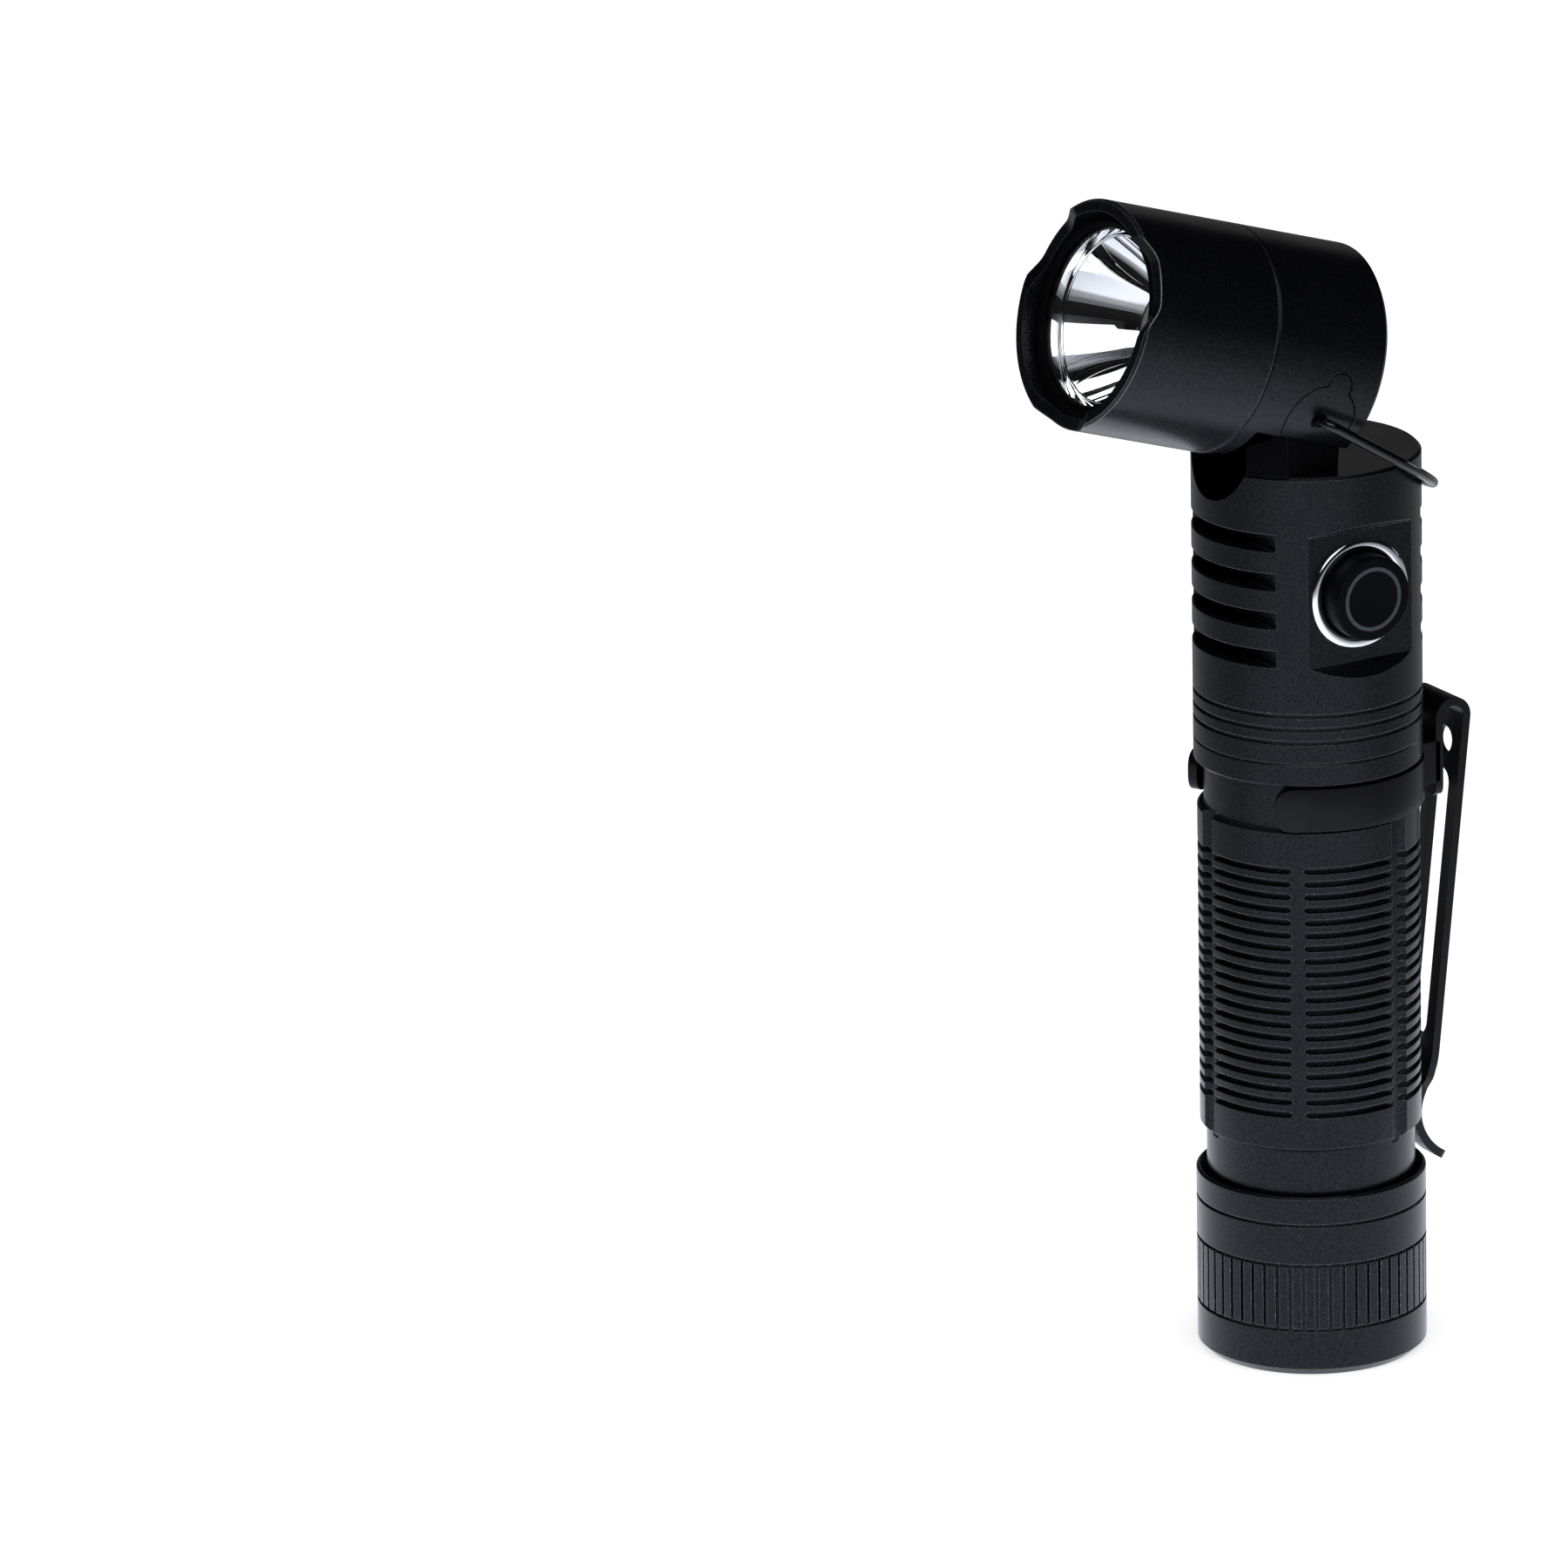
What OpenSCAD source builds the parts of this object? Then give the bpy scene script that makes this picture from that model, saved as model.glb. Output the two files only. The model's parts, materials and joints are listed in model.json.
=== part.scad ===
// Angle-head pocket flashlight: body, folding head, wire bail, pocket clip and screw-off tail cap.
// Origin: centre of the tail cap's flat end. +Z runs up the body, -Y is the side the head folds to,
// +X is the button side. Millimetres. "above" heights are counted from the body's top face.

/* [Body] */
// Outer radius of the upper body and of the head
body_radius = 13.25; // [12.5:0.05:14]
// Height of the body's top face
body_top = 108.35; // [104:0.05:114]
// Underside of the collar that carries the upper body
collar_bottom = 71.52; // [70:0.02:73]
// Parting line between the collar and the upper body
collar_top = 74.2; // [73:0.05:75]
// Radius of the battery tube where it is bare
tube_radius = 12.1; // [11.8:0.05:12.4]
// Radius of the ribbed grip
rib_radius = 12.87; // [12.6:0.01:13.1]
// Lower end of the ribbed grip
rib_bottom = 27.1; // [25:0.05:29]
// Shoulder at the upper end of the ribbed grip
rib_top = 66.0; // [64:0.05:67]
// Height of the lowest grip groove
rib_first = 31.77; // [31:0.01:33]
// Distance from one grip groove to the next
rib_pitch = 1.553; // [1.4:0.001:1.6]
// Number of grip grooves
rib_rows = 20; // [10:1:24]
// Height of one grip groove
rib_slot = 0.78; // [0.5:0.01:0.9]
// Depth of one grip groove
rib_depth = 0.85; // [0.3:0.05:0.9]
// Width of the three smooth bands between the grip grooves
band_width = 2.1; // [1:0.1:3]
// Inner radius of the battery bay
bay_radius = 9.5; // [9.3:0.05:10]

/* [Button] */
// Distance of the milled button flat from the body axis
flat_x = 11.24; // [10.8:0.02:12]
// Lower edge of the button flat
flat_bottom = 85.7; // [84:0.1:88]
// Upper edge of the button flat
flat_top = 101.2; // [99:0.1:103]
// Height of the button's centre
button_z = 93.6; // [91:0.1:96]
// Radius of the cap of the button
button_radius = 5.0; // [4:0.05:5.2]

/* [Head] */
// Angle of the head from the body axis
head_angle = 72.4; // [0:0.1:90]
// Distance of the hinge axis from the body axis
pivot_y = 5.75; // [5.5:0.05:6]
// Height of the hinge axis above the body's top face
pivot_above = 6.85; // [6.7:0.01:7]
// Height of the joint between the two head halves, above the body's top face
seam_above = 15.9; // [15.5:0.1:17]
// Height of the bezel's rim, above the body's top face
rim_above = 34.0; // [33:0.1:36]
// Inner radius of the bezel
bezel_bore = 11.75; // [11.7:0.01:11.9]
// Depth of the three valleys in the bezel
valley_depth = 1.5; // [0.8:0.1:1.8]

/* [Tail cap] */
// Radius of the tail cap
cap_radius = 13.35; // [13.2:0.05:13.6]
// Height of the tail cap
cap_height = 21.8; // [21:0.1:22.5]
// Lower edge of the knurled band
knurl_bottom = 5.65; // [5:0.05:7]
// Upper edge of the knurled band
knurl_top = 13.5; // [12:0.1:15]
// Number of grooves in the knurled band
knurl_count = 54; // [30:1:60]

/* [Clip] */
// Width of the clip
clip_width = 7.0; // [6:0.1:7.4]
// Thickness of the clip's sheet
clip_sheet = 1.0; // [0.8:0.05:1.1]
// Width of the long slot in the clip
clip_slot = 3.5; // [2.5:0.1:3.8]

/* [Bail] */
// Radius of the bail's wire
wire_radius = 0.6; // [0.5:0.05:0.65]
// Half the width of the bail
bail_half = 14.05; // [14:0.05:14.3]
// Reach of the bail from its hinge axis
bail_reach = 23.6; // [23.5:0.1:24.5]
// Angle of the bail below the horizontal
bail_drop = 32; // [20:0.5:33]

/* [Hidden] */
$fn = 64;
pivot_z = body_top + pivot_above;
button_stem = 2.86;
ear_inner = 5.9;
ear_outer = 9.85;
ear_round = 4.25;
pin_radius = 1.6;
cell_bottom = 12.2;
cell_top = 77.2;
cell_shoulder = 76.0;
cell_radius = 9.2;
board_radius = 11.6;
board_bottom = 80.2;
tail_board_radius = 11.7;
tail_board_top = 4.3;
board_top = 81.4;
neck_bore = 11.7;
tail_seal_groove = 11.45;
neck_radius = 11.64;
seal_groove = 11.0;
seat_radius = 6.0;
switch_bay = 8.3;
switch_x = 5.4;
heat_sink_radius = 9.57;
light_base = 20.4;
board_face = 21.5;
glass_low = 30.9;
glass_high = 31.9;
slot_floor = 9.83;
slot_height = 2.1;
slot_heights = [86.71, 91.29, 95.86, 100.48];
ring_heights = [76.77, 78.37, 79.97];
band_angles = [51.5, 171.5, 291.5];
flute_angles = [-8.5, 111.5, 231.5];
valley_angles = [-60, 60, 180];
knuckle_half = 5.6;
cheek_inner = 10.1;
plate_gap = 0.14;
wire_gap = 0.06;
wire_end = 10.3;
bend_z = 73.7;
bend_y = 17.7;
bend_radius = 1.9;
strap_lean = atan2(4.55, 40.6);
clamp_low = 66.2;
clamp_high = 71.25;
clamp_radius = 12.25;
clamp_sheet = 1.15;
black = "#232427";
black_dark = "#17181a";
rubber_black = "#101012";
board_green = "#1f5b3a";
gold = "#b9974f";
grey_metal = "#8f9296";
steel = "#c9cbcf";

// A ring about the Z axis from z0 to z1.
module ring(outer, inner, z0, z1) {
    translate([0, 0, z0])
        difference() {
            cylinder(r = outer, h = z1 - z0);
            translate([0, 0, -1]) cylinder(r = inner, h = z1 - z0 + 2);
        }
}

// A disc about the Z axis from z0 to z1.
module disc(radius, z0, z1) {
    translate([0, 0, z0]) cylinder(r = radius, h = z1 - z0);
}

// A disc with chamfered lower and upper edges.
module bevelled_disc(radius, z0, z1, low, high) {
    rotate_extrude()
        polygon([
            [0, z0], [radius - low, z0], [radius, z0 + low],
            [radius, z1 - high], [radius - high, z1], [0, z1]
        ]);
}

// A shallow groove turned round the outside of a part.
module turned_groove(radius, z, height, depth) {
    ring(radius + 1, radius - depth, z - height / 2, z + height / 2);
}

// A cylinder along X centred on the hinge axis.
module along_hinge(radius, x0, x1) {
    translate([x0, -pivot_y, pivot_z])
        rotate([0, 90, 0])
            cylinder(r = radius, h = x1 - x0);
}

// A YZ profile extruded along X.
module along_x(x0, x1) {
    translate([x0, 0, 0])
        rotate([90, 0, 90])
            linear_extrude(height = x1 - x0)
                children();
}

// Children modelled upright on the body, turned with the head about the hinge axis.
module on_head() {
    translate([0, -pivot_y, pivot_z])
        rotate([head_angle, 0, 0])
            translate([0, pivot_y, -pivot_z])
                children();
}

// Straight milled heat slots on the front and back of the upper body.
module heat_slots() {
    for (side = [0, 180])
        rotate([0, 0, side])
            for (z = slot_heights)
                translate([-body_radius, slot_floor, z - slot_height / 2])
                    cube([2 * body_radius, body_radius, slot_height]);
}

// The milled button flat: its two ends slope out to the round body.
module button_flat() {
    out = 3;
    low_slope = 0.77;
    high_slope = 0.5;
    translate([0, body_radius + 1, 0])
        rotate([90, 0, 0])
            linear_extrude(height = 2 * body_radius + 2)
                polygon([
                    [flat_x, flat_bottom], [flat_x + out, flat_bottom - low_slope * out],
                    [flat_x + out, flat_top + high_slope * out], [flat_x, flat_top]
                ]);
}

// The scoop in the body's top face that the head's knuckle turns over.
module hinge_scoop() {
    scoop_radius = 6.1;
    scoop_start = -1.6;
    translate([0, scoop_start, body_top + 2.0])
        rotate([90, 0, 0])
            cylinder(r = scoop_radius, h = 15);
}

// The upper body: button flat, heat slots, thin turned grooves and the scoop under the hinge.
module upper_body() {
    neck_bore_top = 83.0;
    switch_bay_bottom = 86.4;
    switch_bay_top = 101.6;
    wire_hole = 3;
    seat_start = 7;
    color(black)
        difference() {
            bevelled_disc(body_radius, collar_top, body_top, 0.15, 0.35);
            for (z = ring_heights)
                turned_groove(body_radius, z, 0.5, 0.4);
            heat_slots();
            button_flat();
            disc(neck_bore, collar_top - 1, neck_bore_top);
            disc(wire_hole, neck_bore_top - 1, switch_bay_bottom + 0.6);
            disc(switch_bay, switch_bay_bottom, switch_bay_top);
            translate([seat_start, 0, button_z])
                rotate([0, 90, 0])
                    cylinder(r = seat_radius, h = 7);
            hinge_scoop();
            translate([0, -5, switch_bay_top - 1.6])
                cylinder(r = wire_hole / 2, h = 8);
        }
}

// Side profile of one hinge ear, in Y and Z.
module ear_profile() {
    polygon([
        [-14, body_top - 3], [-14, body_top + 1.8], [-10, body_top + 4.6],
        [-pivot_y - ear_round, pivot_z], [-pivot_y + ear_round, pivot_z],
        [-2.2, body_top - 3]
    ]);
    translate([-pivot_y, pivot_z]) circle(r = ear_round);
}

// The two ears the head turns between.
module hinge_yoke() {
    color(black_dark)
        difference() {
            intersection() {
                union() {
                    along_x(ear_inner, ear_outer) ear_profile();
                    along_x(-ear_outer, -ear_inner) ear_profile();
                }
                disc(body_radius - 0.05, body_top, pivot_z + 10);
            }
            along_hinge(pin_radius, -12, 12);
        }
}

// The hinge pin, fixed in the ears.
module hinge_pin() {
    color(steel)
        along_hinge(pin_radius, -ear_outer, ear_outer);
}

// The rubber ring that seals the upper body on the tube.
module neck_seal() {
    color(rubber_black)
        ring(neck_radius + 0.02, seal_groove, 75.8, 77.0);
}

// The grip's grooves: turned grooves that stop short of the three smooth bands, with round noses.
module grip_grooves() {
    difference() {
        for (row = [0 : rib_rows - 1])
            turned_groove(rib_radius, rib_first + row * rib_pitch, rib_slot, rib_depth);
        for (a = band_angles)
            rotate([0, 0, a])
                translate([-band_width / 2, -rib_radius - 2, rib_bottom])
                    cube([band_width, 4, rib_top - rib_bottom]);
    }
    for (row = [0 : rib_rows - 1])
        for (a = band_angles)
            for (side = [-1, 1])
                rotate([0, 0, a])
                    translate([side * (band_width / 2 + 0.02), 0.02 - rib_radius + rib_depth,
                               rib_first + row * rib_pitch])
                        rotate([90, 0, 0])
                            cylinder(r = 0.31, h = 2, $fn = 14);
}

// The battery tube: spigot, collar, clip neck, ribbed grip, bare end and thread.
// The lands between the grooves lean a hundredth of a millimetre to and fro, so each is its own face.
module battery_tube() {
    $fn = 48;
    neck_top = 80.0;
    flute_radius = 1.5;
    flute_axis = 13.4;
    land_lean = 0.01;
    lands = [for (row = [0 : rib_rows - 1])
        [rib_radius - (row % 2) * land_lean, rib_first + row * rib_pitch]];
    color(black)
        difference() {
            rotate_extrude()
                polygon(concat(
                    [[bay_radius, 7.8], [11.3, 7.8], [11.6, 8.1], [11.6, 15.4], [tube_radius, 15.9],
                     [tube_radius, rib_bottom], [rib_radius - 0.5, rib_bottom],
                     [rib_radius, rib_bottom + 0.5]],
                    lands,
                    [[rib_radius, rib_top - 0.25], [rib_radius - 0.25, rib_top], [tube_radius, rib_top],
                     [tube_radius, collar_bottom], [body_radius - 0.2, collar_bottom],
                     [body_radius, collar_bottom + 0.2], [body_radius, collar_top - 0.2],
                     [body_radius - 0.12, collar_top], [neck_radius, collar_top],
                     [neck_radius, neck_top], [bay_radius, neck_top]]
                ));
            grip_grooves();
            for (a = flute_angles)
                rotate([0, 0, a])
                    translate([0, -flute_axis, rib_bottom - 0.5])
                        cylinder(r = flute_radius, h = rib_top - rib_bottom + 1, $fn = 14);
            ring(body_radius + 1, seal_groove, 75.7, 77.1);
            ring(tube_radius + 1, tail_seal_groove, 17.7, 19.1);
        }
}

// The rubber ring that seals the tail cap on the tube.
module tail_seal() {
    color(rubber_black)
        ring(tube_radius + 0.12, tail_seal_groove + 0.01, 17.8, 19.0);
}

// The rechargeable cell's can.
module battery_cell() {
    color("#3c5a8c")
        bevelled_disc(cell_radius, cell_bottom, cell_shoulder, 0.5, 0.6);
}

// The cell's raised positive end.
module battery_button() {
    color(steel)
        disc(4.1, cell_shoulder, cell_top);
}

// The sprung contact that touches the cell's positive end.
module positive_contact() {
    foot_bottom = 79.4;
    color(gold) {
        disc(2.6, cell_top + 0.05, foot_bottom);
        disc(4.2, foot_bottom, board_bottom);
    }
}

// The round circuit board that drives the light.
module driver_board() {
    color(board_green)
        disc(board_radius, board_bottom, board_top);
}

// The ring that holds the driver board.
module board_retainer() {
    color(grey_metal)
        ring(board_radius, 9.6, board_top, board_top + 1.5);
}

// The board behind the button.
module switch_board() {
    half_width = 6;
    half_height = 6.4;
    thickness = 1.2;
    color(board_green)
        translate([switch_x - thickness, -half_width, button_z - half_height])
            cube([thickness, 2 * half_width, 2 * half_height]);
}

// The switch the button presses.
module switch_body() {
    side = 6;
    depth = 2.6;
    color("#1c1c1f") {
        translate([switch_x, -side / 2, button_z - side / 2])
            cube([depth, side, side]);
        translate([switch_x + depth, 0, button_z])
            rotate([0, 90, 0])
                cylinder(r = 1.7, h = 0.9);
    }
}

// The polished ring round the button: a sleeve in the body with a low rounded lip.
module button_ring() {
    lip = 6.5;
    lip_rise = 0.35;
    throat = button_radius + 0.14;
    sleeve = 5.45;
    sleeve_end = 9.2;
    ledge = flat_x - 0.6;
    color(steel)
        translate([0, 0, button_z])
            rotate([0, 90, 0])
                rotate_extrude()
                    polygon([
                        [sleeve, sleeve_end], [seat_radius - 0.02, sleeve_end],
                        [seat_radius - 0.02, flat_x], [lip, flat_x], [lip, flat_x + 0.1],
                        [lip - 0.25, flat_x + lip_rise], [sleeve, flat_x + lip_rise],
                        [throat, flat_x + 0.1], [throat, ledge], [sleeve, ledge]
                    ]);
}

// The button's cap, with a flange under the ring's ledge.
module button_cap() {
    flange = 5.35;
    flange_bottom = 9.75;
    flange_top = 10.4;
    face = flat_x + button_stem;
    edge = 0.3;
    color(black_dark)
        translate([0, 0, button_z])
            rotate([0, 90, 0])
                rotate_extrude()
                    polygon([
                        [0, flange_bottom], [flange, flange_bottom], [flange, flange_top],
                        [button_radius, flange_top], [button_radius, face - edge],
                        [button_radius - edge, face], [0, face]
                    ]);
}

// The plate outline: a disc on the hinge axis with a small key bump.
module key_outline(grow) {
    circle(r = ear_round + grow);
    rotate(-10)
        translate([4.5, 0])
            circle(r = 1.5 + grow);
}

// A key-shaped prism on the hinge axis.
module key_prism(grow, x0, x1) {
    translate([0, -pivot_y, pivot_z])
        along_x(x0, x1)
            key_outline(grow);
}

// The space in the rear head that the ears turn in.
module ear_space() {
    difference() {
        union() {
            translate([-cheek_inner, -20, body_top - 1])
                cube([2 * cheek_inner, 20 - 1.25, 1 + 11.4]);
            translate([-cheek_inner, -20, body_top - 1])
                cube([2 * cheek_inner, 20 - 8, 1 + 13.6]);
        }
        along_hinge(ear_round, -knuckle_half, knuckle_half);
        translate([-knuckle_half, -10, pivot_z])
            cube([2 * knuckle_half, 12, 12]);
        translate([-knuckle_half, -pivot_y, pivot_z - ear_round])
            cube([2 * knuckle_half, 12, 12]);
    }
}

// Rounds the rear corner of the cheeks so that they clear the body while the head turns.
module cheek_relief() {
    difference() {
        translate([-20, -pivot_y - 20, pivot_z - 20]) cube([40, 20, 20]);
        along_hinge(6.5, -21, 21);
        translate([-cheek_inner, -pivot_y - 21, pivot_z - 21]) cube([2 * cheek_inner, 22, 22]);
    }
}

// The rear half of the head: cheeks, knuckle, flat belly and the spigot for the front half.
module rear_head() {
    spigot_radius = 11.6;
    belly_y = 12.3;
    plate_depth = 0.5;
    seam = body_top + seam_above;
    color(black)
        on_head()
            difference() {
                union() {
                    bevelled_disc(body_radius, body_top + 0.25, seam - 0.05, 0.7, 0.15);
                    disc(spigot_radius, body_top + 10, body_top + 20.8);
                }
                translate([-20, -20 - belly_y, body_top - 1])
                    cube([40, 20, seam_above - 0.2]);
                ear_space();
                cheek_relief();
                along_hinge(pin_radius + wire_gap, -cheek_inner, cheek_inner);
                key_prism(plate_gap, cheek_inner - plate_depth, 20);
                key_prism(plate_gap, -20, plate_depth - cheek_inner);
                disc(heat_sink_radius + 0.03, body_top + 14.5, body_top + 22);
                ring(body_radius - 0.25, seal_groove, body_top + 16.9, body_top + 18.3);
            }
}

// One smooth valley in the bezel's rim: a flat floor between two S-shaped sides.
module bezel_valley(angle) {
    rim = body_top + rim_above;
    floor_half = 2.4;
    reach = 6.6;
    lip = 0.12;
    steps = 8;
    side = [for (i = [0 : steps])
        let (rise = (1 - cos(180 * i / steps)) / 2)
        [floor_half + (reach - floor_half) * i / steps,
         rim - valley_depth + (valley_depth + lip) * rise]];
    rotate([0, 0, angle])
        translate([0, 20, 0])
            rotate([90, 0, 0])
                linear_extrude(height = 20)
                    polygon(concat(
                        side,
                        [[reach, rim + 2], [-reach, rim + 2]],
                        [for (i = [steps : -1 : 0]) [-side[i][0], side[i][1]]]
                    ));
}

// The front half of the head: a bored tube with a scalloped bezel.
module front_head() {
    rim = body_top + rim_above;
    seam = body_top + seam_above;
    socket_top = seam + 5.5;
    lens_seat = seam + 13.7;
    waist = 11.1;
    color(black)
        on_head()
            difference() {
                rotate_extrude()
                    polygon([
                        [neck_bore, seam], [body_radius - 0.12, seam], [body_radius, seam + 0.12],
                        [body_radius, rim - 0.3], [body_radius - 0.3, rim], [bezel_bore, rim],
                        [bezel_bore, lens_seat], [waist, lens_seat], [waist, socket_top],
                        [neck_bore, socket_top]
                    ]);
                for (a = valley_angles)
                    bezel_valley(a);
            }
}

// The rubber ring between the two head halves.
module head_seal() {
    color(rubber_black)
        on_head()
            ring(neck_bore - 0.02, seal_groove + 0.02, body_top + 17.0, body_top + 18.2);
}

// The solid slug that carries heat from the light source.
module heat_sink() {
    color("#b08d57")
        on_head()
            bevelled_disc(heat_sink_radius, body_top + 14.5, body_top + light_base, 0.3, 0.3);
}

// The metal-core board under the light source.
module led_board() {
    color("#e4e4e0")
        on_head()
            disc(8.6, body_top + light_base, body_top + board_face);
}

// The light source: a square base with a dome.
module led_emitter() {
    base_side = 3.5;
    base_bottom = body_top + board_face;
    base_height = 0.8;
    dome_radius = 1.5;
    color("#f2e27a")
        on_head() {
            translate([-base_side / 2, -base_side / 2, base_bottom])
                cube([base_side, base_side, base_height]);
            intersection() {
                translate([0, 0, base_bottom + base_height - 0.1]) sphere(r = dome_radius);
                disc(dome_radius + 1, base_bottom + 0.3, base_bottom + 3);
            }
        }
}

// The ring that centres the reflector on the light source.
module led_gasket() {
    color("#f0f0ec")
        on_head()
            ring(4.3, 2.7, body_top + board_face, body_top + board_face + 0.7);
}

// Half-width of the mirror at a height above the body's top face.
function mirror_radius(above) = sqrt(9.8 * (above - 20.15));

// The smooth bowl-shaped mirror.
module reflector() {
    steps = 14;
    low = 22.25;
    high = 30.6;
    flange = 29.75;
    flange_radius = 11.65;
    skirt = 11.0;
    color("#dfe3e8")
        on_head()
            translate([0, 0, body_top])
                rotate_extrude()
                    polygon(concat(
                        [for (i = [0 : steps])
                            let (above = low + (high - low) * i / steps)
                            [mirror_radius(above), above]],
                        [[flange_radius, high], [flange_radius, flange], [skirt, flange],
                         [skirt, 21.8], [4.6, 21.8]]
                    ));
}

// The ring under the glass.
module lens_seal() {
    color(rubber_black)
        on_head()
            ring(bezel_bore - 0.1, 10.3, body_top + 30.6, body_top + glass_low);
}

// The flat front glass.
module lens_glass() {
    color([0.8, 0.9, 0.95, 0.35])
        on_head()
            bevelled_disc(bezel_bore - 0.15, body_top + glass_low, body_top + glass_high, 0.1, 0.1);
}

// The ring that holds the glass in.
module lens_retainer() {
    outer = bezel_bore - 0.05;
    inner = 10.4;
    top = 32.4;
    color("#141416")
        on_head()
            translate([0, 0, body_top])
                rotate_extrude()
                    polygon([
                        [inner, glass_high], [outer, glass_high], [outer, top],
                        [inner + 0.4, top], [inner, top - 0.3]
                    ]);
}

// A plate that closes the head's cheek over the hinge pin; side is 1 on +X and -1 on -X.
module hinge_plate(side) {
    x0 = side > 0 ? cheek_inner : -20;
    x1 = side > 0 ? 20 : -cheek_inner;
    eye_radius = 1.0;
    eye_bottom = 11.4;
    color(black)
        on_head()
            difference() {
                intersection() {
                    key_prism(0, x0, x1);
                    disc(body_radius - 0.04, body_top, body_top + 20);
                }
                along_hinge(wire_radius + wire_gap, -20, 20);
                along_hinge(eye_radius, side > 0 ? eye_bottom : -20, side > 0 ? 20 : -eye_bottom);
            }
}

// The plate on the button side.
module hinge_plate_right() {
    hinge_plate(1);
}

// The plate on the far side.
module hinge_plate_left() {
    hinge_plate(-1);
}

// One straight end and leg of the bail, on the +X side of its own flat plane.
module bail_leg() {
    corner = 1.3;
    translate([wire_end, 0, 0])
        rotate([0, 90, 0])
            cylinder(r = wire_radius, h = bail_half - corner - wire_end);
    translate([bail_half - corner, corner, 0])
        rotate([0, 0, -90])
            rotate_extrude(angle = 90)
                translate([corner, 0])
                    circle(r = wire_radius);
    translate([bail_half, corner, 0])
        rotate([-90, 0, 0])
            cylinder(r = wire_radius, h = bail_reach - bail_half - corner);
}

// The wire bail, hanging behind the body.
module wire_bail() {
    color(black_dark)
        translate([0, -pivot_y, pivot_z])
            rotate([-bail_drop, 0, 0]) {
                bail_leg();
                mirror([1, 0, 0]) bail_leg();
                translate([0, bail_reach - bail_half, 0])
                    rotate_extrude(angle = 180)
                        translate([bail_half, 0])
                            circle(r = wire_radius);
            }
}

// One flat run of clip sheet between two points of its side profile, with rounded joints.
module sheet_run(a, b) {
    run = b - a;
    length = norm(run);
    translate(a)
        rotate(atan2(run[1], run[0]))
            translate([0, -clip_sheet / 2])
                square([length, clip_sheet]);
    translate(a) circle(r = clip_sheet / 2);
    translate(b) circle(r = clip_sheet / 2);
}

// The half-round bend at the top of the clip, in Y and Z.
module bend_profile() {
    difference() {
        translate([bend_y, bend_z]) circle(r = bend_radius + clip_sheet / 2);
        translate([bend_y, bend_z]) circle(r = bend_radius - clip_sheet / 2);
        translate([bend_y - 5, bend_z - 10]) square([10, 10]);
    }
}

// The free end of the clamp: a short straight tab with rounded corners that leaves the neck.
module clamp_tab(side) {
    corner = 1.5;
    tip = 4.4;
    root = 0.4;
    height = clamp_high - clamp_low;
    rotate([0, 0, side * 60])
        translate([0, -clamp_radius, 0])
            rotate([90, 0, 0])
                linear_extrude(height = clamp_sheet)
                    intersection() {
                        translate([side > 0 ? -tip : -root, clamp_low]) square([tip + root, height]);
                        union() {
                            translate([side > 0 ? corner - tip : -2, clamp_low])
                                square([tip + 0.5, height]);
                            translate([side > 0 ? -5 : 0, clamp_low + corner])
                                square([5, height - 2 * corner]);
                            for (z = [clamp_low + corner, clamp_high - corner])
                                translate([side * (corner - tip), z]) circle(r = corner);
                        }
                    }
}

// The clip's clamp: an open band in the neck, two webs and the inner leg of the clip.
module clip_clamp() {
    height = clamp_high - clamp_low;
    web = 1;
    web_start = 12.7;
    leg_bottom = 64.4;
    color(black_dark) {
        rotate([0, 0, -30])
            rotate_extrude(angle = 240)
                translate([clamp_radius, clamp_low])
                    square([clamp_sheet, height]);
        clamp_tab(1);
        clamp_tab(-1);
        for (side = [-1, 1])
            translate([side * (clip_width - web) / 2 - web / 2, web_start, clamp_low])
                cube([web, 3, height]);
        translate([-clip_width / 2, bend_y - bend_radius - clip_sheet / 2, leg_bottom])
            cube([clip_width, clip_sheet, bend_z - 0.25 - leg_bottom]);
    }
}

// The outline of the clip's arm seen from behind: its lower end tapers to a narrow tongue.
module clip_outline() {
    half = [[5, 80], [5, 33.4], [3.3, 30.4], [2.5, 29.0], [1.95, 27.0], [1.6, 25.0],
            [1.4, 22.0], [1.15, 20.3], [0.7, 19.5], [0.55, 18]];
    last = len(half) - 1;
    translate([0, 40, 0])
        rotate([90, 0, 0])
            linear_extrude(height = 40)
                polygon(concat(
                    half,
                    [for (i = [last : -1 : 0]) [-half[i][0], half[i][1]]]
                ));
}

// The clip's springy arm: bend, slotted strap and curved narrow tip.
module clip_arm() {
    points = [[19.6, 73.7], [15.05, 33.1], [13.95, 27.8], [13.75, 26.0], [13.95, 24.4],
              [14.5, 22.9], [15.4, 21.5], [16.5, 20.4], [17.7, 19.6]];
    eyelet_radius = 1.65;
    slot_low = 36.5;
    slot_high = 65.0;
    color(black_dark)
        difference() {
            intersection() {
                along_x(-clip_width / 2, clip_width / 2) {
                    bend_profile();
                    for (i = [0 : len(points) - 2])
                        sheet_run(points[i], points[i + 1]);
                }
                clip_outline();
            }
            translate([0, 19.185, 70.0])
                rotate([-90 - strap_lean, 0, 0])
                    translate([0, 0, -5])
                        cylinder(r = eyelet_radius, h = 10);
            for (z = [slot_low, slot_high])
                translate([0, 12, z])
                    rotate([-90, 0, 0])
                        cylinder(r = clip_slot / 2, h = 20);
            translate([-clip_slot / 2, 12, slot_low])
                cube([clip_slot, 20, slot_high - slot_low]);
        }
}

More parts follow.
